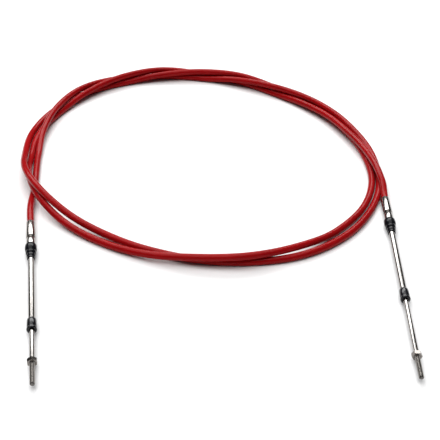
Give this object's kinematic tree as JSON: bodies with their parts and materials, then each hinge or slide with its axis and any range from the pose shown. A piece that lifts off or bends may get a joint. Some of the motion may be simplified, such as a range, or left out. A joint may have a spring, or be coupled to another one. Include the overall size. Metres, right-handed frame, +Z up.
{
  "type": "boat control cable",
  "caption": "Push-pull control cable for a boat's throttle or gear shift: plastic-jacketed conduit in a loose coil, with swivelling support tubes and threaded sliding rods at both ends.",
  "frame": {"origin": "on the floor, in the middle of the plan box around the two end fittings", "axes": "+Z up; +X from the first fitting's side to the second's; the fittings point towards -Y and the coil lies towards +Y"},
  "size_m": [0.4312, 0.6038, 0.0251],
  "materials": {
    "jacket": "smooth glossy red",
    "plated_hub": "bright nickel plate",
    "rubber_boot": "satin black",
    "stainless_tube": "drawn stainless",
    "rubber_seal": "satin black",
    "stainless_rod": "ground stainless",
    "plated_nut": "plated steel"
  },
  "bodies": {
    "cable": {"conduit": "jacket", "crimped_hub_a": "plated_hub", "crimped_hub_b": "plated_hub"},
    "tube_a": {"support_tube_a": "stainless_tube", "swivel_boot_a": "rubber_boot", "wiper_seal_a": "rubber_seal"},
    "rod_a": {"end_rod_a": "stainless_rod", "jam_nut_a": "plated_nut"},
    "tube_b": {"support_tube_b": "stainless_tube", "swivel_boot_b": "rubber_boot", "wiper_seal_b": "rubber_seal"},
    "rod_b": {"end_rod_b": "stainless_rod", "jam_nut_b": "plated_nut"}
  },
  "joints": [
    {"name": "swivel_a", "type": "hinge", "parent": "cable", "child": "tube_a", "pos_m": [-0.18907, 0.05739, 0.00635], "axis": [0, 0, 1], "range_deg": [-8, 8]},
    {"name": "slide_a", "type": "slide", "parent": "tube_a", "child": "rod_a", "axis": [0.1685, -0.9857, 0], "range_m": [-0.02075, 0.05545]},
    {"name": "swivel_b", "type": "hinge", "parent": "cable", "child": "tube_b", "pos_m": [0.19415, 0.10272, 0.00635], "axis": [0, 0, 1], "range_deg": [-8, 8]},
    {"name": "slide_b", "type": "slide", "parent": "tube_b", "child": "rod_b", "axis": [-0.0279, -0.9996, 0], "range_m": [-0.05545, 0.02075]}
  ],
  "couplings": [
    {"joint": "slide_b", "follows": "slide_a", "ratio": -1}
  ]
}
